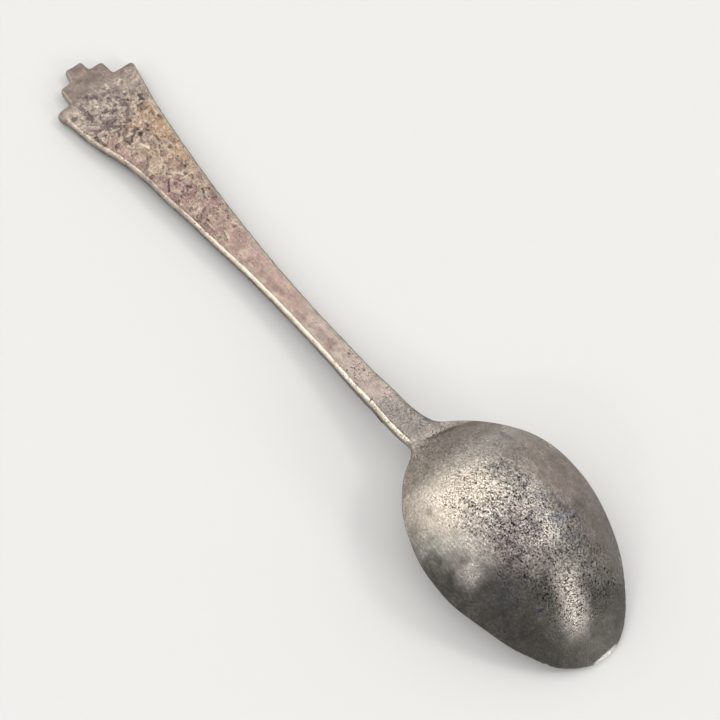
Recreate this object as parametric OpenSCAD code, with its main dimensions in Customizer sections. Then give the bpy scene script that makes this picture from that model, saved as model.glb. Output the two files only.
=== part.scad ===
// Souvenir spoon, lying face down: the back of the bowl and of the handle look up.
// X runs along the spoon with the bowl's tip at the positive end, and Z = 0 is the table.

/* [Overall] */
// Length from the stepped end of the handle to the tip of the bowl
spoon_length = 115; // [108:1:122]

/* [Bowl] */
// Width of the bowl at its widest place
bowl_width = 24.4; // [20:0.4:28]
// Distance of the widest place from the tip
widest_from_tip = 19; // [18:0.5:21]
// Distance from the tip to the crease where the dome meets the neck
bowl_length = 36.8; // [35:0.2:38]
// Height of the dome above the rim
dome_height = 6; // [5:0.2:7]
// Rise of the rim's middle above the straight line from tip to neck
rim_arch = 3.1; // [1:0.1:4]
// Thickness of the bowl's metal at the middle of the dome
bowl_metal = 1; // [0.8:0.1:1.2]
// Thickness of the bowl's metal at the rim
rim_metal = 0.7; // [0.5:0.1:0.8]

/* [Handle] */
// Width of the stem at its waist
waist_width = 3.4; // [2.8:0.1:4]
// Distance of the waist from the stepped end
waist_from_end = 57; // [50:1:60]
// Thickness of the stem
stem_metal = 2.1; // [1.7:0.1:2.4]
// Thickness of the stepped end
end_metal = 1.7; // [1.3:0.1:2]
// Depth worn off flat where the spoon touches the table
wear = 0.2; // [0.1:0.05:0.3]

/* [Stepped end] */
// Width across the shoulders of the handle
shoulder_width = 13.6; // [12:0.2:15]
// Distance of the shoulders from the end
shoulder_from_end = 5.2; // [4.6:0.1:5.4]
// Width of the middle step
step_width = 7.3; // [6.3:0.2:8.3]
// Distance of the middle step from the end
step_from_end = 1.9; // [1.6:0.1:2.2]
// Width of the top step
tab_width = 2.8; // [2.6:0.2:3.4]
// Radius of the worn outer corners
corner_radius = 0.45; // [0.2:0.05:0.6]

/* [Neck joint] */
// Distance from the tip to the joint, on the back of the neck
joint_from_tip = 44.8; // [44:0.2:46]
// Length of the slanted lap
lap_length = 3; // [2:0.2:3.6]
// Thickness of the solder in the lap
solder_metal = 0.15; // [0.1:0.01:0.2]

/* [Hidden] */

// rows of the bowl's mesh from tip to joint, and columns from rim to rim
bowl_rows = 46;
bowl_columns = 30;
// points along one side of the handle's outlines
handle_points = 36;

// curve powers: the tip's roundness, the shoulders' straightness, the handle's flare and the dome's fullness
tip_power = 1.68;
tip_root = 0.53;
heel_power = 2.75;
flare_power = 2;
dome_power = 2.3;
heel_softness = 1.15;

// run of the egg shape from its widest place to where it alone would close, and the size of the neck's fillet
egg_heel = bowl_length - widest_from_tip + 0.9;
neck_blend = 1.1;
// growth of the stem's half width from the waist to the neck, and the run that it takes
neck_growth = 0.32;
neck_run = 18;
// place of the dome's top, as a share of the bowl's length
dome_top = 0.52;
// how far the inner rim stands in from the outer one
rim_inset = 0.35;
// blunt end of the mesh at the tip
tip_cut = 0.02;
// places from the tip where the rim turns into the neck's back, and where the metal thickens into the neck
neck_start = bowl_length - 3;
neck_end = bowl_length + 2;
thick_start = bowl_length - 6;
// places from the tip where the inset of the tip's inner rim ends, and where the lap starts to draw it back
inset_end = 8;
lap_start = bowl_length - 6;

// slope of the handle's face over the table at places along it, measured from the stepped end
end_slope = 0.08;
neck_slope = 0.23;
slopes = [[0, end_slope], [10, end_slope], [26, 0], [52, 0.02], [76, neck_slope], [spoon_length, neck_slope]];

function clamp01(v) = min(1, max(0, v));
function ramp(v, from, to) = let(c = clamp01((v - from) / (to - from))) c * c * (3 - 2 * c);
function mix(a, b, k) = a + (b - a) * k;
function blend_max(a, b, k) = (a + b + sqrt((a - b) * (a - b) + k * k)) / 2;

// slope at x between two entries of the list, and the height climbed up to x
function slope_part(i, x) =
    let(a = slopes[i], b = slopes[i + 1], run = min(x, b[0]) - a[0])
    run <= 0 ? 0 : run * (a[1] + mix(a[1], b[1], run / (b[0] - a[0]))) / 2;
function climb(x, i = 0) = i >= len(slopes) - 1 ? 0 : slope_part(i, x) + climb(x, i + 1);

function metal(x) = mix(end_metal, stem_metal, clamp01(x / waist_from_end));
function handle_face(x) = max(0, climb(x) - wear);
function handle_back(x) = climb(x) + metal(x) - wear;

// half width of the handle and neck, x from the stepped end
function stem_half(x) =
    x < waist_from_end
        ? mix(waist_width, shoulder_width,
              pow((waist_from_end - x) / (waist_from_end - shoulder_from_end), flare_power)) / 2
        : waist_width / 2 + neck_growth * pow((x - waist_from_end) / neck_run, 2);

// half width of the egg-shaped bowl, d from the tip
function egg_half(d) =
    bowl_width / 2 * (
        d < widest_from_tip
            ? pow(1 - pow(1 - d / widest_from_tip, tip_power), tip_root)
            : 1 - pow((d - widest_from_tip) / egg_heel, heel_power));

function half_width(d) =
    d < widest_from_tip
        ? egg_half(d)
        : blend_max(egg_half(d), stem_half(spoon_length - d),
                    neck_blend * ramp(d, widest_from_tip, bowl_length));

// height of the back's edge: the rim on the bowl, the flat back on the neck
neck_height = handle_back(spoon_length - bowl_length);
function rim_height(d) =
    let(k = d / bowl_length) mix(rim_metal - wear, neck_height, k) + 4 * rim_arch * k * (1 - k);
function edge_height(d) =
    mix(rim_height(min(d, bowl_length)), handle_back(spoon_length - d), ramp(d, neck_start, neck_end));

// height of the dome over the rim along the middle
function crown(d) =
    let(top = dome_top * bowl_length)
    d >= bowl_length ? 0 :
    d < top
        ? dome_height * (1 - pow(1 - d / top, dome_power))
        : dome_height * pow(1 - pow((d - top) / (bowl_length - top), dome_power), heel_softness);

function dome(d, t) = edge_height(d) + crown(d) * (1 - pow(abs(t), dome_power));
function bowl_wall(d, t) =
    mix(mix(bowl_metal, rim_metal, pow(abs(t), 3)), metal(spoon_length - d), ramp(d, thick_start, neck_end));

// the inner surface's place along the spoon: inset at the tip, drawn back along the lap at the joint
function inner_place(d) =
    d + rim_inset * clamp01(1 - d / inset_end) - lap_length * ramp(d, lap_start, joint_from_tip);

function outer_point(d, t) = [spoon_length / 2 - d, t * half_width(d), dome(d, t)];
function inner_point(d, t) =
    let(e = inner_place(d), inset = rim_inset * (1 - ramp(d, neck_start, joint_from_tip)))
    [spoon_length / 2 - e, t * (half_width(e) - inset), max(0, dome(e, t) - bowl_wall(e, t))];

// rows stand closer together at the tip, and columns at the rims
function row_place(i) = mix(tip_cut, joint_from_tip, pow(i / bowl_rows, 1.5));
function column_place(j) = sin(90 * (2 * j / bowl_columns - 1));

module bowl() {
    wide = bowl_columns + 1;
    count = (bowl_rows + 1) * wide;
    points = concat(
        [for (i = [0:bowl_rows], j = [0:bowl_columns]) outer_point(row_place(i), column_place(j))],
        [for (i = [0:bowl_rows], j = [0:bowl_columns]) inner_point(row_place(i), column_place(j))]);
    outer = [for (i = [0:bowl_rows - 1], j = [0:bowl_columns - 1])
        let(a = i * wide + j) each [[a, a + wide, a + 1], [a + 1, a + wide, a + wide + 1]]];
    inner = [for (f = outer) [f[0] + count, f[2] + count, f[1] + count]];
    rim = [for (i = [0:bowl_rows - 1])
        let(a = i * wide, b = a + bowl_columns)
        each [[a, a + count, a + wide], [a + wide, a + count, a + wide + count],
              [b, b + wide, b + count], [b + wide, b + wide + count, b + count]]];
    ends = [for (j = [0:bowl_columns - 1])
        let(a = j, b = bowl_rows * wide + j)
        each [[a, a + 1, a + count], [a + 1, a + 1 + count, a + count],
              [b, b + count, b + 1], [b + 1, b + count, b + 1 + count]]];
    color("dimgray") polyhedron(points, concat(outer, inner, rim, ends));
}

// the joint: places from the stepped end where the lap meets the back and the face
lap_back = spoon_length - joint_from_tip;
lap_face = lap_back + lap_length;
lap_angle = atan((handle_back(lap_back) - handle_face(lap_face)) / lap_length);
solder_run = solder_metal / sin(lap_angle);

// a quarter round at an outer corner, turning clockwise from angle a
function worn_corner(x, y, a) =
    [for (k = [0:4]) [x, y] + corner_radius * [cos(a - 22.5 * k), sin(a - 22.5 * k)]];

// one side of the handle's outline, from the end of the top step to the joint
function outline_side() =
    let(r = corner_radius, step = step_width / 2, shoulder = shoulder_width / 2,
        first = shoulder_from_end + r, last = lap_face + 1)
    concat(
        worn_corner(r, tab_width / 2 - r, 180),
        [[step_from_end, tab_width / 2]],
        worn_corner(step_from_end + r, step - r, 180),
        [[shoulder_from_end, step]],
        worn_corner(shoulder_from_end + r, shoulder - r, 180),
        [for (i = [1:handle_points])
            let(x = mix(first, last, i / handle_points)) [x, stem_half(x)]]);

module handle_outline() {
    side = outline_side();
    count = len(side);
    polygon(concat(side, [for (i = [1:count]) [side[count - i][0], -side[count - i][1]]]));
}

module handle_profile() {
    back_end = lap_back - solder_run;
    face_end = lap_face - solder_run;
    polygon(concat(
        [for (i = [0:handle_points]) let(x = back_end * i / handle_points) [x, handle_back(x)]],
        [for (i = [handle_points:-1:0])
            let(x = face_end * i / handle_points) if (x > slopes[1][0]) [x, handle_face(x)]],
        [[wear / end_slope, 0], [0, 0]]));
}

// draws a side profile, x from the stepped end, as a plate that wide across Y
module plate(width) {
    translate([-spoon_length / 2, width / 2, 0])
        rotate([90, 0, 0])
            linear_extrude(width)
                children();
}

module handle() {
    color("rosybrown")
        intersection() {
            plate(shoulder_width + 2)
                handle_profile();
            translate([-spoon_length / 2, 0, -1])
                linear_extrude(20)
                    handle_outline();
        }
}

module neck_solder() {
    width = 2 * half_width(joint_from_tip) - 0.1;
    color("silver")
        plate(width)
            polygon([
                [lap_back - solder_run, handle_back(lap_back - solder_run)],
                [lap_back, handle_back(lap_back)],
                [lap_face, handle_face(lap_face)],
                [lap_face - solder_run, handle_face(lap_face - solder_run)]]);
}

bowl();
handle();
neck_solder();
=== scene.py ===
"""Souvenir spoon lying face down: the looks of its bowl, handle and solder, and the table that it lies on."""

import math

import bpy
import numpy as np
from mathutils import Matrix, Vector, kdtree, noise
from mathutils.geometry import delaunay_2d_cdt


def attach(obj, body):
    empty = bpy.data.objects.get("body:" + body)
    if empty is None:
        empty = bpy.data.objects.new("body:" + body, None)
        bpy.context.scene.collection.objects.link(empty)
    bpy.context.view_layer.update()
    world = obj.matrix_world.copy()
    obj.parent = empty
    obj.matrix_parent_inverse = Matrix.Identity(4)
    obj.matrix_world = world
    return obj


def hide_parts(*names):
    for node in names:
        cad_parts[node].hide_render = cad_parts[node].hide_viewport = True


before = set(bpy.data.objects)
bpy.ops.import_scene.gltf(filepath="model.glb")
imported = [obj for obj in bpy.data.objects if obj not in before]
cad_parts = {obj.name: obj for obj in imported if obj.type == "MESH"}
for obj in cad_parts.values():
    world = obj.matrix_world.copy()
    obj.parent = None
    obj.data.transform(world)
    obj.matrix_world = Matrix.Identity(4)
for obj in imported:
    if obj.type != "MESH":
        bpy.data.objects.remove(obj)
bpy.context.view_layer.update()

# ---------------------------------------------------------------- sizes of the spoon, in millimetres
# s is the distance from the stepped end, d = LENGTH - s is the distance from the bowl's tip,
# and y runs across the spoon.
MM = 0.001
LENGTH = 115.0
BOWL_WIDTH = 24.4
WIDEST = 19.0
BOWL_LENGTH = 36.8
DOME_HEIGHT = 6.0
DOME_LENGTH = 35.8
RIM_ARCH = 3.1
BOWL_METAL = 1.0
RIM_METAL = 0.7
WAIST_WIDTH = 3.4
WAIST = 57.0
STEM_METAL = 2.1
END_METAL = 1.7
WEAR = 0.2
SHOULDER_WIDTH = 13.6
SHOULDER = 5.2
JOINT = 70.2
LAP = 3.0
SOLDER_RUN = 0.35
SLOPES = [(0, 0.08), (10, 0.08), (26, 0), (52, 0.02), (76, 0.23), (LENGTH, 0.23)]


def clamp(v):
    return np.clip(v, 0, 1)


def ramp(v, start, end):
    """Goes smoothly from 0 at start to 1 at end."""
    c = clamp((v - start) / (end - start))
    return c * c * (3 - 2 * c)


def hump(v, start, end):
    """A smooth bump, 1 half way between start and end, and 0 outside."""
    return np.sin(math.pi * clamp((v - start) / (end - start))) ** 2


def mix(a, b, k):
    return a + (b - a) * k


def blend_max(a, b, k):
    return (a + b + np.sqrt((a - b) ** 2 + k * k)) / 2


def waves(v, seed, lengths):
    """A fixed irregular wave between about -1 and 1: the mean of sines of those lengths."""
    total = sum(np.sin(2 * math.pi * v / length + seed * (i + 1.7)) for i, length in enumerate(lengths))
    return total / len(lengths)


def speckle(x, y, size, seed=0.0, octaves=3):
    """Smooth noise between about -1 and 1 at every point, with lumps of that size."""
    x, y = np.broadcast_arrays(x, y)
    values = [noise.fractal(Vector((a / size, b / size, seed)), 0.8, 2.1, octaves)
              for a, b in zip(x.ravel(), y.ravel())]
    return np.array(values).reshape(x.shape)


# ---------------------------------------------------------------- shape of the spoon
def climb(s):
    """Height that the handle's face has climbed over the table at s."""
    total = 0 * s
    for (a, slope_a), (b, slope_b) in zip(SLOPES, SLOPES[1:]):
        run = np.clip(s, a, b) - a
        total = total + run * (slope_a + mix(slope_a, slope_b, run / (b - a))) / 2
    return total


def metal(s):
    return mix(END_METAL, STEM_METAL, clamp(s / WAIST))


def handle_face(s):
    return np.maximum(0, climb(s) - WEAR)


def handle_back(s):
    return climb(s) + metal(s) - WEAR


def stem_half(s):
    flare = clamp((WAIST - s) / (WAIST - SHOULDER)) ** 2
    growth = 0.32 * (np.maximum(0, s - WAIST) / 18) ** 2
    return mix(WAIST_WIDTH, SHOULDER_WIDTH, flare) / 2 + growth


def egg_half(d, heel, power=2.75):
    """Half width of the egg shape that closes at heel from the tip, more bluntly at a higher power."""
    front = (1 - np.abs(1 - np.minimum(d, WIDEST) / WIDEST) ** 1.68) ** 0.53
    back = 1 - (np.maximum(0, d - WIDEST) / (heel - WIDEST)) ** power
    return BOWL_WIDTH / 2 * np.where(d < WIDEST, front, back)


# uneven wear of the outline: start and end from the stepped end, and how much wider that side is there
WORN = {
    1: [(1, 14, 0.27), (69, 79, -0.3), (81, 105, 0.12), (106, 115, -0.18)],
    -1: [(6, 18, 0.32), (13.5, 28, -0.32), (30, 44, 0.12), (70, 79, 0.25), (97, 108, -0.25),
         (108.5, 115, 0.35)],
}


def shoulder_skew(d, side):
    """How far the outline is shifted along the spoon on each side: the shoulders aren't alike."""
    near = 0.55 * ramp(d, 20, 26) * (1 - ramp(d, 26, 31)) + 1.05 * ramp(d, 33.4, 37.2) * (1 - ramp(d, 42, 48))
    far = -0.4 * ramp(d, 29, 35) * (1 - ramp(d, 40, 48))
    return np.where(side < 0, near, far)


def side_half(d, side):
    """Half width of the outline on one side: 1 is +Y, -1 is -Y."""
    e = d + shoulder_skew(d, side)
    fillet = np.where(side < 0, 0.5, 1.2) * ramp(e, WIDEST, BOWL_LENGTH)
    outline = blend_max(egg_half(e, BOWL_LENGTH + 0.9), stem_half(LENGTH - e), fillet)
    half = np.where(d < WIDEST, egg_half(d, BOWL_LENGTH), outline)
    for which, places in WORN.items():
        for start, end, wider in places:
            half = half + wider * hump(LENGTH - d, start, end) * (side * which > 0)
    return half


def dome_half(d, side):
    """Half width of the dome itself, which ends in a blunt crease across the neck."""
    reach = egg_half(d, DOME_LENGTH + np.where(side < 0, 0.7, 0.0), 5)
    return np.maximum(0.02, np.minimum(reach, side_half(d, side) - 0.06))


def sway(d):
    """Sideways wander of the middle line."""
    return -0.16 * hump(d, 40, 56)


def rim_height(d):
    k = d / BOWL_LENGTH
    neck = handle_back(np.array(LENGTH - BOWL_LENGTH))
    return mix(RIM_METAL - WEAR, neck, k) + 4 * RIM_ARCH * k * (1 - k)


def edge_height(d):
    return mix(rim_height(np.minimum(d, BOWL_LENGTH)), handle_back(LENGTH - d),
               ramp(d, BOWL_LENGTH - 3, BOWL_LENGTH + 2))


def crown(d):
    top = 0.52 * BOWL_LENGTH
    front = 1 - np.abs(1 - np.minimum(d, top) / top) ** 2.3
    back = (1 - clamp((d - top) / (DOME_LENGTH + 0.4 - top)) ** 2.3) ** 1.15
    return DOME_HEIGHT * np.where(d < top, front, back)


def dome(d, y):
    """Height of the bowl's back, with a worn crease where the dome meets the flat band."""
    off = y - sway(d)
    share = np.abs(off) / dome_half(d, off)
    rise = crown(d) * (1 - np.minimum(share, 1.6) ** 2.3)
    crease = 0.5 * ramp(d, 22, 32) + 0.03
    return edge_height(d) + (rise + np.sqrt(rise * rise + crease * crease) - crease) / 2


def bevel_width(s, side):
    """Width of the rubbed bevel along the edges of the blade and the neck."""
    return np.where(side < 0, 0.48, 0.55) + 0.07 * waves(s, 4.0, (5.3, 2.3, 1.1))


def edge_drop(s, from_edge, side):
    """How far the bevels drop below the back: more on the -Y side, with a shallow groove inside it."""
    width = bevel_width(s, side)
    share = 1 - clamp(from_edge / width)
    drop = np.where(side < 0, 0.27, 0.10) * share ** 1.15 + 0.13 * (1 - clamp(from_edge / 0.13)) ** 2
    groove = 0.035 * hump(from_edge, width - 0.08, width + 0.26) * (side < 0) * ramp(s, 12, 18)
    return (drop + groove) * (1 - ramp(s, LENGTH - BOWL_LENGTH - 1.5, LENGTH - BOWL_LENGTH + 1.5))


def bowl_wall(d, t):
    return mix(mix(BOWL_METAL, RIM_METAL, np.abs(t) ** 3), metal(LENGTH - d),
               ramp(d, BOWL_LENGTH - 6, BOWL_LENGTH + 2))


# ---------------------------------------------------------------- wear marks
def rgb(*values):
    return np.array(values, float)


def tint(colours, colour, share):
    return mix(colours, colour, share[:, None])


def cracks(s, y, size, seed, width):
    """Thin winding lines: places where a smooth noise passes through zero."""
    lines = 1 - ramp(np.abs(speckle(s, y, size, seed, 2)), 0.3 * width, width)
    return lines * ramp(speckle(s, y, 1.7 * size, seed + 3, 1), -0.05, 0.2)


def stroke_field(s, y, strokes, wobble):
    """How strongly each point lies on any of the strokes: start, end, half width and strength."""
    field = np.zeros_like(s)
    s = s + wobble
    y = y - 0.7 * wobble
    for s0, y0, s1, y1, width, strength in strokes:
        along = ((s - s0) * (s1 - s0) + (y - y0) * (y1 - y0)) / max((s1 - s0) ** 2 + (y1 - y0) ** 2, 1e-9)
        along = clamp(along)
        distance = np.hypot(s - s0 - along * (s1 - s0), y - y0 - along * (y1 - y0))
        field = np.maximum(field, strength * (1 - ramp(distance, 0.3 * width, width)))
    return field


def scatter(seed, count, along, across, run, rise, width, strength):
    """Seeded strokes over a zone, from ranges of place, run along, rise across, half width and strength."""
    draw = np.random.default_rng(seed)
    columns = [draw.uniform(low, high, count) for low, high in (along, across, run, rise, width, strength)]
    s, y, run, rise, width, strength = columns
    return np.stack([s, y, s + run, y + rise, width, strength], 1)


# generic wear of the bowl's back, in distances from the tip: sharp pits, and soft dark dashes along the bowl
DARK_ON_BOWL = np.concatenate([
    scatter(1, 14, (6, 30), (-6, 5), (-0.4, 0), (0, 0.3), (0.15, 0.3), (0.6, 0.95)),
    scatter(2, 14, (12, 34), (-10, 8), (-2, -0.8), (-0.8, 0.8), (0.4, 0.65), (0.3, 0.45)),
])

# generic wear of the handle's back, in distances from the stepped end: dark dents and soft blotches on the
# wide end, short cuts on the blade, and soft patches on the stem
DARK_ON_HANDLE = np.concatenate([
    scatter(4, 26, (4.8, 16), (-3.6, 4.6), (-0.4, 1.0), (-0.8, 0.8), (0.28, 0.5), (0.55, 0.95)),
    scatter(5, 5, (7, 16), (-2.5, 2.5), (0.8, 2.5), (-0.8, 0.8), (0.8, 1.3), (0.3, 0.45)),
    scatter(6, 36, (16, 37), (-2.6, 2.4), (-0.3, 1.3), (-0.9, 0.6), (0.15, 0.3), (0.45, 0.95)),
    scatter(7, 6, (41, 60), (-0.6, 0), (1, 2.6), (0, 0.4), (0.5, 0.9), (0.25, 0.4)),
])
# pale strokes: rubbed bright metal on raised places, partly painted glints
PALE_AND_GLINTS_ON_HANDLE = np.concatenate([
    scatter(8, 9, (4.3, 18), (-2, 4.2), (0.2, 1.4), (-0.3, 0.8), (0.15, 0.4), (0.4, 0.7)),
    scatter(9, 9, (19, 38), (-1.2, 1.8), (0, 1.6), (-0.5, 0.8), (0.12, 0.18), (0.4, 0.6)),
])


def handle_marks(s, y):
    """Dark marks and pale marks (rubbed metal, partly painted glints) of the handle's back, and the noises
    that they share.
    """
    cloud = speckle(s, y, 3.2, 5.0)
    patch = speckle(s, y, 1.4, 9.0, 4)
    fine = speckle(s, y, 0.5, 1.0)
    wobble = (0.26 * fine + 0.22 * patch) * (1 - 0.75 * ramp(s, 48, 56))
    rough = ramp(s, 4.5, 7) * (1 - 0.75 * ramp(s, 26, 42)) * (1 - 0.4 * ramp(s, 14, 18))
    blots = ramp(patch - 0.2 * cloud, 0.14, 0.34) * rough * (1 - 0.4 * ramp(y, 1.5, 3.5))
    lines = np.maximum(cracks(s, y, 1.3, 2.0, 0.08), 0.7 * cracks(s, y, 0.7, 11.0, 0.09))
    lines = lines * (0.3 + 0.7 * ramp(s, 5, 9)) * (1 - ramp(s, 37, 42))
    dark = np.maximum(stroke_field(s, y, DARK_ON_HANDLE, wobble), np.maximum(0.70 * blots, 0.52 * lines))
    # pale flecks on raised crumbs, partly painted glints
    flecks = 0.45 * ramp(fine - patch, 0.25, 0.65) * rough
    pale_and_glints = np.maximum(stroke_field(s, y, PALE_AND_GLINTS_ON_HANDLE, 0.4 * wobble), flecks)
    return cloud, patch, fine, dark, pale_and_glints


# ---------------------------------------------------------------- meshes
def place(d, y, z):
    """Points in the row frame, in metres, from places measured from the tip in millimetres."""
    d, y, z = np.broadcast_arrays(d, y, z)
    return np.stack([LENGTH / 2 - d, y, z], -1) * MM


def make_mesh(name, points, faces, sharp_degrees=30):
    mesh = bpy.data.meshes.new(name)
    mesh.from_pydata(points.tolist(), [], faces)
    mesh.validate()
    piece = bpy.data.objects.new(name, mesh)
    bpy.context.scene.collection.objects.link(piece)
    mesh.shade_smooth()
    mesh.set_sharp_from_angle(angle=math.radians(sharp_degrees))
    return piece


def quads(grid):
    """Faces between the rows of a grid of point numbers."""
    corners = [grid[:-1, :-1], grid[1:, :-1], grid[1:, 1:], grid[:-1, 1:]]
    return np.stack(corners, -1).reshape(-1, 4).tolist()


def turned(faces):
    return [face[::-1] for face in faces]


def paint(piece, name, values):
    """Stores a colour at every point of the piece, for its material to read."""
    colours = np.ones((len(values), 4))
    colours[:, :3] = values
    layer = piece.data.attributes.new(name, "FLOAT_COLOR", "POINT")
    layer.data.foreach_set("color", colours.ravel().astype(np.float32))


ROWS = 280
COLUMNS = 150
RIM_STEPS = 4
RIM_ROUND = 0.3
RIM_INSET = 0.35
TIP_START = 0.03


def rim_lean(d, side):
    """Along and across parts of the outline's inward normal at d."""
    step = 0.01
    slope = (side_half(d + step, side) - side_half(np.maximum(d - step, 0.005), side)) / (2 * step)
    size = np.sqrt(1 + slope * slope)
    return slope / size, 1 / size


def bowl_surface(d, t, reach, inset, lift):
    """Points of one surface of the bowl: rows d by columns t, its border inset from the outline."""
    side = np.where(t < 0, -1, 1)
    along, across = rim_lean(d, side)
    along = mix(along[:, :1], along[:, -1:], (t + 1) / 2)
    at = d + inset * along
    y = sway(d) + t * (reach - inset * across)
    return at, y, lift(at, y)


def build_bowl():
    k = np.linspace(0, 1, ROWS + 1)[:, None]
    d = mix(TIP_START, LENGTH - JOINT, mix(k ** 2.6, k, 0.35 + 0.35 * k))
    u = np.linspace(-1, 1, COLUMNS + 1)[None, :]
    t = mix(u, np.sin(math.pi / 2 * u), 0.7)
    side = np.where(t < 0, -1, 1)

    chips = 0.22 * hump(d, 3.8, 4.7) * (side < 0)
    chips = chips + 0.05 * waves(d, 2.0, (1.3, 0.8, 0.5)) * ramp(d, 0, 1) * (1 - ramp(d, 7, 10))
    reach = side_half(d, side) - chips + 0.03 + 0 * t
    at, y, z = bowl_surface(d, t, reach, RIM_ROUND, dome)
    z = z + 0.05 * speckle(at, y, 5.0, 3.1) * clamp((1 - np.abs(t)) * 6)
    z = z - edge_drop(LENGTH - at, reach - np.abs(y - sway(d)), side)
    outer = place(at, y, z)

    lap = LAP * ramp(d, BOWL_LENGTH - 6, LENGTH - JOINT)
    inner_d = d - lap
    inner_inset = RIM_INSET * (1 - ramp(d, BOWL_LENGTH - 6, BOWL_LENGTH))
    inner_reach = side_half(inner_d, side) + 0 * t
    at, y, z = bowl_surface(inner_d, t, inner_reach, inner_inset + 0.22,
                            lambda a, b: dome(a, b) - bowl_wall(a, t))
    inner = place(at, y, np.maximum(0, z))

    # the corners that the rounded rim bends around
    drop = edge_drop(LENGTH - d, 0.05, side)
    at, y, z = bowl_surface(d, t, reach, -0.02, lambda a, b: edge_height(d) - drop + 0 * b)
    outer_corner = place(at, y, z)
    at, y, z = bowl_surface(inner_d, t, inner_reach, inner_inset - 0.02,
                            lambda a, b: edge_height(inner_d) - bowl_wall(inner_d, 1.0) + 0 * b)
    inner_corner = place(at, y, np.maximum(0, z))

    number = np.arange((ROWS + 1) * (COLUMNS + 1)).reshape(ROWS + 1, COLUMNS + 1)
    count = number.size
    border = np.concatenate([number[::-1, 0], number[0, 1:], number[1:, -1]])
    a, b, c, e = [grid.reshape(-1, 3)[border] for grid in (outer, outer_corner, inner_corner, inner)]
    wall = np.linalg.norm(b - c, axis=1)[:, None] / MM
    turn = np.minimum(0.48, 0.32 / np.maximum(wall, 0.01))
    bends = []
    for start, corner, end in ((a, b, mix(b, c, turn)), (mix(c, b, turn), c, e)):
        for f in np.linspace(0, 1, RIM_STEPS + 1):
            bends.append((1 - f) ** 2 * start + 2 * f * (1 - f) * corner + f * f * end)
    bends = np.stack(bends[1:-1])
    bends[:, :, 2] = np.maximum(0, bends[:, :, 2])
    points = np.concatenate([outer.reshape(-1, 3), inner.reshape(-1, 3), bends.reshape(-1, 3)])

    bend_numbers = 2 * count + np.arange(bends.shape[0] * bends.shape[1]).reshape(bends.shape[:2])
    rim = np.concatenate([border[None], bend_numbers, border[None] + count])
    last = number[-1].tolist()
    ends = [[last[j], last[j + 1], last[j + 1] + count, last[j] + count] for j in range(COLUMNS)]
    faces = turned(quads(number)) + quads(number + count) + quads(rim)
    faces = faces + ends + [rim[::-1, 0].tolist(), rim[:, -1].tolist()]
    return make_mesh("bowl_visual", points, faces)


# The handle is meshed in plan: points on its outline, on lines inset from it, and on a grid inside.
GRID = 0.12
# the grid's spacing from place to place along the handle
GRID_PARTS = [(0, 4, 0.14), (4, 37.5, 0.115), (37.5, 55.5, 0.15), (55.5, 67.5, 0.075), (67.5, JOINT, 0.15)]
BEVEL_LINES = (0.05, 0.12, 0.22, 0.36, 0.52)
# corners of the worn steps on each side: place from the end, place across and how much is rounded off
STEPS = {
    1: [(0, 0, 0), (0, 1.35, 0.5), (2.0, 1.42, 0.6), (2.05, 3.65, 0.7), (4.9, 3.78, 0.5), (5.1, 7.25, 0.9)],
    -1: [(0, 0, 0), (-0.2, 1.45, 0.6), (2.1, 1.85, 0.6), (2.1, 3.9, 0.6), (5.15, 4.15, 0.5),
         (5.25, 6.95, 0.8)],
}


def stepped_side(side):
    """One side of the outline from the end to the joint, as if it were on +Y."""
    flare = np.linspace(SHOULDER + 2.2, JOINT - SOLDER_RUN, 160)
    flare = list(zip(flare, side_half(LENGTH - flare, side)))
    corners = STEPS[side] + [(flare[0][0], flare[0][1], 0)]
    points = [(0, 0)]
    for before, corner, after in zip(corners, corners[1:], corners[2:]):
        at, a, b = (np.array(c[:2], float) for c in (corner, before, after))
        start = at + (a - at) * min(0.5, corner[2] / np.linalg.norm(a - at))
        end = at + (b - at) * min(0.5, corner[2] / np.linalg.norm(b - at))
        points += [(1 - f) ** 2 * start + 2 * f * (1 - f) * at + f * f * end for f in np.linspace(0, 1, 9)]
    return np.array([tuple(p) for p in points] + flare)


def resample(points, spacing):
    """The same line with its points evenly spaced."""
    steps = np.linalg.norm(np.diff(points, axis=0), axis=1)
    run = np.concatenate([[0], np.cumsum(steps)])
    at = np.linspace(0, run[-1], int(run[-1] / spacing) + 1)
    return np.stack([np.interp(at, run, points[:, 0]), np.interp(at, run, points[:, 1])], 1)


def inward(loop):
    """Inward normals of a closed loop that runs clockwise in s and y."""
    along = np.roll(loop, -1, axis=0) - np.roll(loop, 1, axis=0)
    along = along / np.linalg.norm(along, axis=1)[:, None]
    return np.stack([along[:, 1], -along[:, 0]], 1)


def handle_loop():
    """The handle's outline seen from above, as a closed loop of (s, y)."""
    far = stepped_side(1)
    near = stepped_side(-1) * [1, -1]
    end = np.linspace(far[-1], near[-1], 30)
    loop = np.concatenate([resample(far, GRID)[:-1], resample(end, GRID)[:-1], resample(near, GRID)[:0:-1]])
    wander = 0.035 * waves(loop[:, 0] + 3 * (loop[:, 1] > 0), 1.3, (4.1, 1.9, 1.1))
    wander = wander * ramp(loop[:, 0], 0, 4) * (1 - ramp(loop[:, 0], JOINT - 4, JOINT - 1))
    loop = loop + inward(loop) * wander[:, None]
    loop[:, 1] += sway(LENGTH - loop[:, 0])
    return loop


def inside(points, loop):
    """Which points lie inside the closed loop."""
    found = np.zeros(len(points), bool)
    for (s0, y0), (s1, y1) in zip(loop, np.roll(loop, -1, axis=0)):
        if s0 != s1:
            crosses = (points[:, 0] < s0) != (points[:, 0] < s1)
            found ^= crosses & (points[:, 1] < y0 + (points[:, 0] - s0) * (y1 - y0) / (s1 - s0))
    return found


def edge_distance(points, loop):
    """Distance from each point to the outline."""
    fine = resample(np.concatenate([loop, loop[:1]]), 0.02)
    tree = kdtree.KDTree(len(fine))
    for i, (s, y) in enumerate(fine):
        tree.insert((s, y, 0), i)
    tree.balance()
    return np.array([tree.find((s, y, 0))[2] for s, y in points])


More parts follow.
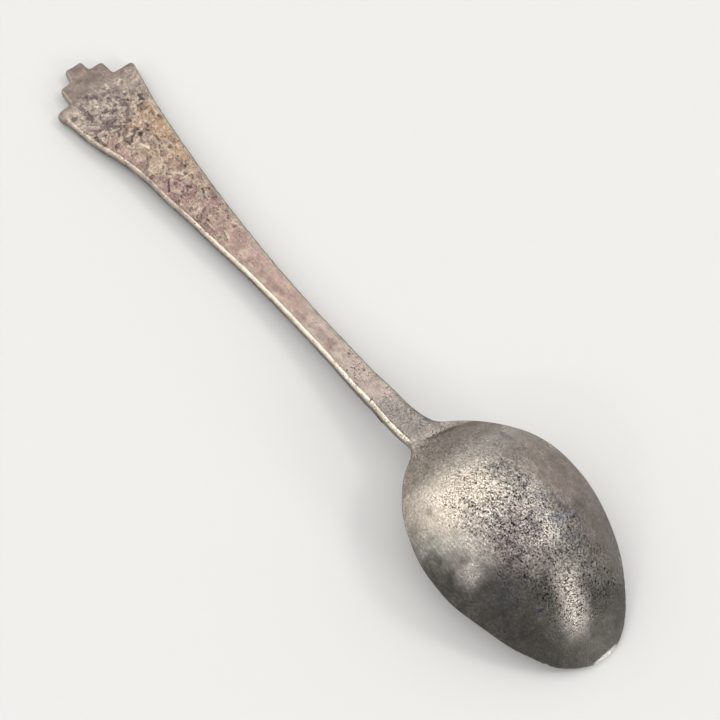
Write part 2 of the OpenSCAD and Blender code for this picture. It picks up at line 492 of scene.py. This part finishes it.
def handle_plan():
    """Points and triangles of the handle seen from above, and each point's distance from the outline."""
    loop = handle_loop()
    normal = inward(loop)
    sets = [loop]
    for inset in BEVEL_LINES:
        line = loop + normal * inset
        sets.append(line[edge_distance(line, loop) > 0.93 * inset])
    for start, end, spacing in GRID_PARTS:
        s, y = np.meshgrid(np.arange(start, end, spacing), np.arange(-8, 8, spacing), indexing="ij")
        y = y + spacing / 2 * (np.round(s / spacing) % 2)
        grid = np.stack([s.ravel(), y.ravel()], 1)
        grid = grid[inside(grid, loop)]
        sets.append(grid[edge_distance(grid, loop) > BEVEL_LINES[-1] + 0.6 * spacing])
    points = np.concatenate(sets)
    border = list(range(len(loop)))
    points, _, faces, origin, _, _ = delaunay_2d_cdt([Vector(p) for p in points], [], [border], 1, 1e-6)
    points = np.array([tuple(p) for p in points])
    number = {old: new for new, olds in enumerate(origin) for old in olds}
    border = [number[i] for i in border]
    return points, faces, border, edge_distance(points, loop)


def handle_relief(s, y, edge):
    """Worn, lumpy relief of the handle's back, fading towards the plain outline."""
    cloud, patch, fine, dark, pale_and_glints = handle_marks(s, y)
    lumps = 0.030 * patch + 0.016 * fine * (1 - 0.5 * ramp(s, 25, 45))
    lumps = lumps * (1 - 0.6 * ramp(s, 24, 44)) * (0.35 + 0.65 * ramp(s, 3, 6))
    relief = (lumps - 0.06 * dark + 0.05 * pale_and_glints) * ramp(edge, 0.15, 0.6) - 0.02
    return relief * (1 - ramp(s, JOINT - 3, JOINT - 0.8))


def build_handle():
    points, faces, border, edge = handle_plan()
    s, y = points[:, 0], points[:, 1]
    side = np.sign(y)

    flank = (s > SHOULDER) & (edge > side_half(LENGTH - s, side) - np.abs(y - sway(LENGTH - s)) - 0.6)
    soft_corner = 0.2 * (1 - clamp(edge / 0.35)) ** 1.6 * (s < SHOULDER + 3)
    drop = np.where(flank, edge_drop(s, edge, side), soft_corner)
    back = handle_back(s) - drop + handle_relief(s, y, edge)
    top = place(LENGTH - s, y, back)

    face_s = s + LAP * ramp(s, 62, JOINT - SOLDER_RUN)
    face_y = y * side_half(LENGTH - face_s, side) / side_half(LENGTH - s, side)
    round_off = 0.25 * (1 - clamp(edge / 0.4)) ** 2
    border_step = 0.12 * ramp(edge, 0.9, 1.1) * (1 - ramp(s, 52, 58))
    face = handle_face(face_s) + (round_off + border_step) * (1 - ramp(s, 62, 66))
    bottom = place(LENGTH - face_s, face_y, face)

    # side walls, bulging a little
    upper, lower = top[border], bottom[border]
    normal = inward(points[border])
    walls = []
    shares = (0.12, 0.35, 0.65, 0.88)
    for share in shares:
        wall = mix(upper, lower, share)
        bulge = 0.07 * math.sin(math.pi * share) * (1 - ramp(s[border], 62, 66)) * MM
        wall[:, :2] -= normal * bulge[:, None]
        walls.append(wall)
    walls = np.stack(walls)

    count = len(points)
    border = np.array(border)
    rows = 2 * count + np.arange(walls.shape[0] * len(border)).reshape(walls.shape[:2])
    wall_grid = np.concatenate([border[None], rows, border[None] + count])
    wall_grid = np.concatenate([wall_grid, wall_grid[:, :1]], axis=1)
    every = np.concatenate([top, bottom, walls.reshape(-1, 3)])
    faces = [list(f) for f in faces]
    below = [[v + count for v in f][::-1] for f in faces]
    return make_mesh("handle_visual", every, faces + below + turned(quads(wall_grid)))


def build_solder():
    """A thin slab in the slanted joint, following the bevels of the metal that it joins."""
    proud = 0.012
    across = np.sin(np.linspace(-math.pi / 2, math.pi / 2, 61))
    side = np.where(across < 0, -1, 1)
    rings = []
    for s, on_back in ((JOINT - SOLDER_RUN, 1), (JOINT, 1), (JOINT + LAP, 0), (JOINT + LAP - SOLDER_RUN, 0)):
        half = side_half(LENGTH - s + 0 * across, side)
        y = sway(LENGTH - s) + half * across
        drop = edge_drop(s + 0 * across, half * (1 - np.abs(across)), side)
        z = handle_back(s) - drop + proud * (1 - across ** 4) if on_back else handle_face(s) - proud
        rings.append(place(LENGTH - s, y, z))
    grid = np.arange(4 * len(across)).reshape(4, -1)
    loop = np.concatenate([grid, grid[:1]])
    faces = quads(loop) + [loop[:4, 0].tolist()[::-1], loop[:4, -1].tolist()]
    return make_mesh("neck_solder_visual", np.concatenate(rings), faces)


bowl = build_bowl()
handle = build_handle()
solder = build_solder()
for piece, node, slot in ((bowl, "bowl", "bowl_metal"), (handle, "handle", "handle_metal"),
                          (solder, "neck_solder", "solder")):
    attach(piece, "root")
    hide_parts(node)


# ---------------------------------------------------------------- materials
class Nodes:
    """A short way to write shader nodes."""

    def __init__(self, name):
        self.material = bpy.data.materials.new(name)
        self.material.use_nodes = True
        self.tree = self.material.node_tree
        self.shader = self.tree.nodes["Principled BSDF"]

    def add(self, kind, settings=None, **inputs):
        node = self.tree.nodes.new(kind)
        for key, value in (settings or {}).items():
            setattr(node, key, value)
        for key, value in inputs.items():
            self.set(node, key, value)
        return node

    def set(self, node, key, value):
        socket = node.inputs[int(key[1:])] if key[0] == "_" else node.inputs[key]
        if isinstance(value, bpy.types.NodeSocket):
            self.tree.links.new(value, socket)
        else:
            socket.default_value = value

    def math(self, operation, a, b=0.0, c=0.0):
        return self.add("ShaderNodeMath", {"operation": operation}, _0=a, _1=b, _2=c).outputs[0]

    def ramp(self, value, low, high, to_low=0.0, to_high=1.0):
        node = self.add("ShaderNodeMapRange", {"interpolation_type": "SMOOTHSTEP"},
                        _0=value, _1=low, _2=high, _3=to_low, _4=to_high)
        return node.outputs[0]

    def noise(self, vector, scale, detail=3.0, roughness=0.55):
        node = self.add("ShaderNodeTexNoise", Vector=vector, Scale=scale, Detail=detail, Roughness=roughness)
        return node.outputs["Fac"]

    def bump(self, height, distance):
        return self.add("ShaderNodeBump", Height=height, Distance=distance, Strength=1.0).outputs["Normal"]


def metal_material(name, contrast, grain_depth, pit_depth, smoothest):
    """Worn silver plate, from the point colours "tone" and "wear" (pitting, film, scratching)."""
    n = Nodes(name)
    where = n.add("ShaderNodeTexCoord").outputs["Object"]
    tone = n.add("ShaderNodeAttribute", {"attribute_name": "tone"}).outputs["Color"]
    wear = n.add("ShaderNodeAttribute", {"attribute_name": "wear"}).outputs["Color"]
    pitting, film, scratching = n.add("ShaderNodeSeparateColor", Color=wear).outputs

    # fine grain and cloudy patches of the worn surface
    grain = n.noise(where, 1 / (0.30 * MM), 4.0, 0.75)
    clouds = n.noise(where, 1 / (1.9 * MM), 5.0, 0.68)

    # pits: scattered specks of uneven shape and size, bigger and closer where the metal is pitted
    bend = n.add("ShaderNodeTexNoise", Vector=where, Scale=1 / (0.35 * MM), Detail=2.0).outputs["Color"]
    bend = n.add("ShaderNodeVectorMath", {"operation": "MULTIPLY_ADD"},
                 _0=bend, _1=(0.25 * MM,) * 3, _2=where).outputs[0]
    pits = 0.0
    for spacing, biggest in ((0.50, 0.36), (0.30, 0.44)):
        cells = n.add("ShaderNodeTexVoronoi", Vector=bend, Scale=1 / (spacing * MM))
        luck = n.add("ShaderNodeSeparateColor", Color=cells.outputs["Color"]).outputs[0]
        radius = n.math("MULTIPLY", n.math("MULTIPLY", n.math("POWER", luck, 0.8), pitting), biggest)
        edge = n.math("SUBTRACT", radius, cells.outputs["Distance"])
        pits = n.math("MAXIMUM", pits, n.ramp(edge, -0.02, 0.12))
    drawn = n.add("ShaderNodeMapping", Vector=where, Rotation=(0, 0, 0.5), Scale=(0.6, 1.0, 1.0)).outputs[0]
    specks = n.noise(drawn, 1 / (0.19 * MM), 2.0, 0.5)
    specks = n.math("SUBTRACT", specks, n.ramp(pitting, 0.0, 1.0, 0.72, 0.56))
    pits = n.math("MAXIMUM", pits, n.math("MULTIPLY", n.ramp(specks, 0.0, 0.08), 0.75))

    # scratches in three directions
    scratches = 0.0
    for turn_z, seed in ((0.9, 0.0), (-0.35, 0.1), (2.2, 0.2)):
        drawn = n.add("ShaderNodeMapping", Vector=where, Location=(seed, 0, 0), Rotation=(0, 0, turn_z),
                      Scale=(0.10, 1.0, 1.0)).outputs[0]
        lines = n.ramp(n.noise(drawn, 1 / (0.17 * MM), 1.0, 0.5), 0.60, 0.70)
        scratches = n.math("MAXIMUM", scratches, lines)
    scratches = n.math("MULTIPLY", scratches, scratching)

    swing = n.ramp(grain, 0.3, 0.7, -contrast, contrast)
    swing = n.math("MULTIPLY", swing, n.ramp(pitting, 0.1, 0.9, 0.35, 1.3))
    shade = n.math("ADD", 1.0, swing)
    shade = n.math("MULTIPLY", shade, n.ramp(clouds, 0.3, 0.7, 0.84, 1.16))
    shade = n.math("MULTIPLY", shade, n.math("SUBTRACT", 1.0, n.math("MULTIPLY", pits, 0.90)))
    shade = n.math("MULTIPLY", shade, n.math("ADD", 1.0, n.math("MULTIPLY", scratches, 0.45)))
    scale = n.add("ShaderNodeVectorMath", {"operation": "SCALE"}, _0=tone)
    n.set(scale, "Scale", shade)
    n.set(n.shader, "Base Color", scale.outputs[0])
    n.set(n.shader, "Metallic", 1.0)
    rough = n.ramp(grain, 0.2, 0.8, smoothest, smoothest + 0.14)
    rough = n.math("ADD", rough, n.math("MULTIPLY", film, 0.22))
    n.set(n.shader, "Roughness", n.math("ADD", rough, n.math("MULTIPLY", pits, 0.2)))

    height = n.math("ADD", n.math("MULTIPLY", grain, grain_depth), n.math("MULTIPLY", clouds, 0.10))
    height = n.math("SUBTRACT", height, n.math("MULTIPLY", pits, pit_depth))
    height = n.math("SUBTRACT", height, n.math("MULTIPLY", scratches, 0.012))
    n.set(n.shader, "Normal", n.bump(height, MM))
    return n.material


def floor_material():
    n = Nodes("table")
    n.set(n.shader, "Base Color", (0.648, 0.652, 0.644, 1))
    n.set(n.shader, "Roughness", 0.6)
    n.set(n.shader, "Specular IOR Level", 0.3)
    return n.material


def places(piece):
    """Distances from the tip, places across and heights of all points of the piece, in millimetres."""
    points = np.array([v.co for v in piece.data.vertices]) / MM
    return LENGTH / 2 - points[:, 0], points[:, 1], points[:, 2]


def stem_tone(s, y):
    """Colour of the stem and the neck: tan that turns grey towards the bowl."""
    cloud = speckle(s, y, 2.2, 4.0)
    patch = speckle(s, y, 0.9, 14.0)
    tan, grey = rgb(0.375, 0.312, 0.276), rgb(0.262, 0.237, 0.217)
    tone = mix(tan, grey, ramp(s + 1.3 * cloud + 0.6 * patch - 0.5 * y, 69.6, 72.6)[:, None])
    return tone * (1 + 0.12 * cloud + 0.14 * patch * ramp(s, 68, 71))[:, None]


def edge_colours_and_painted_light(tone, s, y, z):
    """Painted highlight on the -Y bevel for the table's bright reflection, painted shade in its groove, a
    dull greenish band on the +Y side, and painted shade on the side walls below.
    """
    d = LENGTH - s
    patch = speckle(s, y, 1.4, 9.0, 4)
    side = np.sign(y)
    from_edge = side_half(d, side) - np.abs(y - sway(d))
    width = bevel_width(s, side)
    on_blade = ramp(s, 6.5, 9) * (1 - ramp(s, 77.4, 78.2))
    # painted shade: darker along the shallow groove inside the -Y bevel
    groove = hump(from_edge, width - 0.08, width + 0.26) * (y < 0) * on_blade * ramp(s, 14, 20)
    tone = tint(tone, 0.45 * tone, 0.5 * groove)
    far = (1 - ramp(from_edge + 0.08 * patch, 0.35, 0.7)) * (y > 0) * on_blade * (1 - ramp(s, 70, 74))
    tone = tint(tone, rgb(0.36, 0.325, 0.268), 0.7 * far)
    rim = (1 - ramp(from_edge, 0.06, 0.2)) * (y > 0) * on_blade
    tone = tint(tone, rgb(0.19, 0.18, 0.15), 0.7 * rim)
    # painted highlight: the -Y bevel turned pale cream for the table's bright reflection, stronger further
    # along the handle
    near = (1 - ramp(from_edge, 0.8 * width, width)) * (y < 0) * on_blade
    worn = 0.40 + 0.45 * ramp(s, 26, 40)
    tone = tint(tone, rgb(0.90, 0.80, 0.65), near * worn)
    # painted shade: the side walls below the bevels go darker further down, towards the table
    depth = handle_back(s) - z
    below = ramp(depth, 0.36, 0.5) * (1 - ramp(s, 77, 79))
    shade_depth = ramp(depth + 0.4 * patch, 0.55, 1.2)
    side_shade_tone = mix(rgb(0.34, 0.275, 0.215), rgb(0.13, 0.105, 0.085), shade_depth[:, None])
    return tint(tone, side_shade_tone, below), near


def paint_bowl():
    d, y, z = places(bowl)
    cloud = speckle(d, y, 4.5, 7.0)
    patch = speckle(d, y, 1.7, 3.0, 4)
    fine = speckle(d, y, 0.7, 2.0)

    # bare metal shows where the dome is rubbed, with brighter metal painted where the lamps' highlights fall;
    # a dark film stays on the lower flank and at the tip
    worn = ramp(d + 0.8 * y + 0.7 * cloud + 0.5 * patch, 8.8, 16.2)
    worn = worn * (1 - ramp(0.8 * cloud - y, 8.8, 10.8) * (1 - ramp(d, 21, 26)))
    worn = worn * (1 - 0.5 * ramp(0.8 * cloud - y, 6.0, 10.0))
    worn = worn * (1 - 0.75 * ramp(y + 1.0 * cloud, 0.5, 7) * (1 - ramp(d, 21, 29)))
    worn = worn * (1 - 0.45 * ramp(d + cloud, 29.5, 33.0))
    # painted highlight: brighter metal along the diagonal band where the lamps' streak reflects
    highlight_band = (1 - ramp(np.abs(y + 3.2 - 0.37 * d), 0.3, 3.2 + cloud)) * ramp(d, 3, 6)
    # painted highlight: a brighter, smoother spot where a small lamp's glint falls
    glint_spot = 1 - ramp(np.hypot(d - 18.4, y + 8.1), 0.4, 2.8)
    share = np.maximum(np.maximum(worn, 0.85 * highlight_band), 0.9 * glint_spot)
    # painted shade: a darker band between the two highlight patches
    share = share * (1 - 0.5 * hump(d + 0.4 * cloud, 9.5, 15.5))
    film_tone = rgb(0.092, 0.086, 0.076) * (1 + 0.25 * (1 - ramp(d, 1.5, 6)))[:, None]
    tone = mix(film_tone, rgb(0.44, 0.405, 0.362), share[:, None])

    flank = ramp(y + 1.2 * cloud + 0.5 * patch, 2.5, 7.5) * ramp(d, 3, 11)
    flank_tone = mix(rgb(0.172, 0.146, 0.132), rgb(0.262, 0.216, 0.190), ramp(d + cloud, 13, 21)[:, None])
    tone = tint(tone, flank_tone, 0.75 * flank * (1 - 0.7 * ramp(d, 26, 30)))
    tone = tint(tone, rgb(0.25, 0.213, 0.185), 0.65 * ramp(d + cloud, 29, 32.5))
    # painted highlight: a warm beige sheen where the broad lamp's highlight falls near the neck
    glow = hump(d + 0.15 * y + 0.5 * cloud, 20, 32) * (1 - ramp(np.abs(y + 3.8), 2.5, 8))
    tone = tint(tone, rgb(0.68, 0.595, 0.49), 0.6 * glow)
    pink = hump(d + cloud, 11, 25) * (1 - ramp(np.abs(y + 1.4), 2.0, 5))
    tone = tint(tone, rgb(0.20, 0.163, 0.157), 0.7 * pink)
    steel = (1 - ramp(np.abs(y - 4.6 + 0.8 * cloud), 0.8, 2.6)) * hump(d, 8, 26) * ramp(patch, -0.3, 0.3)
    tone = tint(tone, rgb(0.15, 0.158, 0.178), 0.6 * steel)
    blue = hump(d, 9, 19) * (1 - ramp(np.abs(y + 6.3), 1.5, 4)) * ramp(patch + 0.4 * cloud, -0.25, 0.35)
    tone = tint(tone, rgb(0.086, 0.088, 0.105), 0.3 * blue)
    green = hump(d, 19.5, 27.5) * ramp(-y, 7, 9) * (1 - ramp(-y, 10, 11.5)) * ramp(patch, -0.4, 0.3)
    tone = tint(tone, rgb(0.42, 0.42, 0.365), 0.5 * green)
    tone = tone * (1 + 0.08 * cloud + 0.16 * patch + 0.14 * fine)[:, None]
    tone = mix(tone, stem_tone(LENGTH - d, y), ramp(d + 0.3 * cloud, 35.3, 37.0)[:, None])

    wobble = 0.2 * fine + 0.12 * patch
    tone = tint(tone, rgb(0.040, 0.045, 0.065), stroke_field(d, y, DARK_ON_BOWL, wobble))
    worn_tip = (1 - ramp(d, 0.4, 0.7)) * (1 - ramp(np.abs(y + 0.3), 1.6, 2.6))
    tone = tint(tone, rgb(0.80, 0.79, 0.74), 0.9 * worn_tip)
    tone, near = edge_colours_and_painted_light(tone, LENGTH - d, y, z)
    band = 1 - ramp(np.abs(y - 1.0 + 0.1 * (d - 14)) + 1.0 * cloud, 2.5, 8.0)
    pitting = band * ramp(d, 3, 7) * (1 - 0.75 * ramp(d, 23, 30)) + 0.25 + 0.35 * patch + 0.2 * fine
    film = 0.9 - 0.8 * share - 0.2 * glint_spot
    scratching = 0.8 + 0.5 * cloud
    paint(bowl, "tone", np.clip(tone, 0.01, 1))
    paint(bowl, "wear", np.clip(np.stack([pitting, film, scratching], 1), 0, 1))


def paint_handle():
    d, y, z = places(handle)
    s = LENGTH - d
    cloud, patch, fine, dark, pale_and_glints = handle_marks(s, y)
    taupe, ash, tan = rgb(0.212, 0.172, 0.150), rgb(0.34, 0.283, 0.25), rgb(0.385, 0.30, 0.235)
    golden, mauve, rose = rgb(0.375, 0.268, 0.182), rgb(0.27, 0.182, 0.17), rgb(0.39, 0.293, 0.262)
    tone = np.tile(taupe, (len(s), 1))
    tone = tint(tone, ash, ramp(s + cloud, 4.5, 7.5) * ramp(patch + 0.06 * np.abs(y), -0.4, 0.3))
    tone = tint(tone, tan, ramp(s + cloud, 11, 15))
    gilt = ramp(s, 9, 14) * (1 - ramp(s, 23, 29)) * ramp(0.6 * cloud + 0.16 * y, -0.1, 0.6)
    tone = tint(tone, golden, 0.9 * gilt)
    tone = tint(tone, mauve, 0.8 * ramp(s + 3 * cloud - 0.4 * y, 21, 27) * ramp(cloud + patch, -0.6, 0.3))
    tone = tint(tone, mauve, 0.6 * ramp(-y, 1.5, 3.5) * ramp(s, 12, 16))
    tone = tint(tone, rose, ramp(s + 3 * cloud, 36, 44) * ramp(patch, -0.5, 0.5))
    tone = mix(tone, stem_tone(s, y), ramp(s + 3 * cloud, 50, 58)[:, None])
    tone = tint(tone, mauve, 0.5 * ramp(patch + cloud, 0.1, 0.5) * ramp(s, 44, 48) * (1 - ramp(s, 60, 64)))
    tone = tone * (1 + (0.20 * patch + 0.18 * fine) * (1 - 0.75 * ramp(s, 38, 50)))[:, None]
    tone = tint(tone, rgb(0.058, 0.042, 0.050), dark)
    # pale marks: rubbed bright metal, partly painted glints
    tone = tint(tone, rgb(0.66, 0.57, 0.47), pale_and_glints)
    steps = np.nonzero(s < SHOULDER + 1.5)[0]
    from_outline = np.ones(len(s))
    from_outline[steps] = edge_distance(np.stack([s, y], 1)[steps], handle_loop())
    tone = tint(tone, rgb(0.40, 0.35, 0.30), 0.55 * (1 - ramp(from_outline, 0.12, 0.45)))
    tone, near = edge_colours_and_painted_light(tone, s, y, z)
    pitting = 0.35 + 0.3 * ramp(s, 6, 10) * (1 - ramp(s, 30, 50)) + 0.2 * patch + 0.35 * hump(s, 60, 71)
    pitting = mix(pitting, 0.25, ramp(s, 67, JOINT - 0.5))
    film = 0.45 + 0.25 * cloud * (1 - ramp(s, 60, 68)) - 0.3 * near
    scratching = 0.5 + 0.3 * cloud * (1 - ramp(s, 60, 68))
    paint(handle, "tone", np.clip(tone, 0.01, 1))
    paint(handle, "wear", np.clip(np.stack([pitting, film, scratching], 1), 0, 1))


def paint_solder():
    d, y, z = places(solder)
    tone, near = edge_colours_and_painted_light(0.94 * stem_tone(LENGTH - d, y), LENGTH - d, y, z)
    paint(solder, "tone", np.clip(tone, 0.01, 1))
    paint(solder, "wear", np.tile(rgb(0.25, 0.45, 0.5), (len(d), 1)))


paint_bowl()
paint_handle()
paint_solder()
bowl.data.materials.append(metal_material("tarnished bowl metal", 0.46, 0.075, 0.05, 0.13))
handle.data.materials.append(metal_material("tarnished handle metal", 0.16, 0.05, 0.05, 0.22))
solder.data.materials.append(metal_material("dull solder", 0.2, 0.06, 0.04, 0.20))

bpy.ops.mesh.primitive_plane_add(size=4)
floor = bpy.context.object
floor.name = "table"
floor.data.materials.append(floor_material())


# ---------------------------------------------------------------- light and camera
RIGHT = Vector((0.648, 0.762, 0))
AWAY = Vector((-0.762, 0.648, 0))
UP = Vector((0, 0, 1))

# soft lights of the room: direction as right, away and up, core and edge angles, colour, strength
GLOWS = [
    ((-0.62, 0.32, 0.70), 15, 60, (1.0, 0.97, 0.94), 0.88),
    ((-0.69, 0.35, 0.63), 2, 18, (1.0, 0.96, 0.90), 1.5),
    ((-0.30, 0.33, 0.89), 3, 30, (1.0, 0.94, 0.86), 0.15),
    ((0.67, 0.11, 0.73), 2, 10, (1.0, 0.99, 0.97), 11.5),
    ((0.74, -0.60, 0.34), 3, 12, (1.0, 0.99, 0.97), 12.5),
    ((0.84, 0.30, 0.45), 4, 24, (1.0, 0.99, 0.96), 0.6),
    ((-0.55, -0.64, 0.53), 2, 6, (0.95, 0.98, 1.0), 15.0),
    ((-0.30, -0.30, 0.90), 10, 60, (1.0, 0.97, 0.95), 0.25),
    ((0.15, 0.35, 0.92), 10, 60, (1.0, 0.99, 0.97), 0.68),
    ((0.70, 0.60, 0.40), 10, 60, (1.0, 0.99, 0.97), 0.4),
]
ROOM = (0.24, 0.24, 0.247)


def build_world():
    world = bpy.data.worlds.new("room")
    bpy.context.scene.world = world
    world.use_nodes = True
    tree = world.node_tree
    where = tree.nodes.new("ShaderNodeTexCoord").outputs["Generated"]
    total = None
    for direction, core, edge, colour, strength in GLOWS:
        toward = (RIGHT * direction[0] + AWAY * direction[1] + UP * direction[2]).normalized()
        dot = tree.nodes.new("ShaderNodeVectorMath")
        dot.operation = "DOT_PRODUCT"
        dot.inputs[1].default_value = toward
        tree.links.new(where, dot.inputs[0])
        fade = tree.nodes.new("ShaderNodeMapRange")
        fade.interpolation_type = "SMOOTHSTEP"
        fade.inputs[1].default_value = math.cos(math.radians(edge))
        fade.inputs[2].default_value = math.cos(math.radians(core))
        fade.inputs[4].default_value = strength
        tree.links.new(dot.outputs["Value"], fade.inputs[0])
        glow = tree.nodes.new("ShaderNodeVectorMath")
        glow.operation = "SCALE"
        glow.inputs[0].default_value = colour
        tree.links.new(fade.outputs[0], glow.inputs["Scale"])
        add = tree.nodes.new("ShaderNodeVectorMath")
        add.operation = "ADD"
        tree.links.new(glow.outputs[0], add.inputs[0])
        if total is None:
            add.inputs[1].default_value = ROOM
        else:
            tree.links.new(total, add.inputs[1])
        total = add.outputs[0]
    tree.links.new(total, tree.nodes["Background"].inputs["Color"])


def build_camera():
    lens = bpy.data.cameras.new("camera")
    lens.lens = 80
    lens.sensor_width = 36
    camera = bpy.data.objects.new("camera", lens)
    bpy.context.scene.collection.objects.link(camera)
    eye = Vector((67.83, -50.75, 205.68)) * MM
    target = Vector((5.26, 2.48, -0.2)) * MM
    camera.location = eye
    camera.rotation_euler = (target - eye).to_track_quat("-Z", "Y").to_euler()
    bpy.context.scene.camera = camera


build_world()
build_camera()
bpy.context.scene.view_settings.view_transform = "Standard"
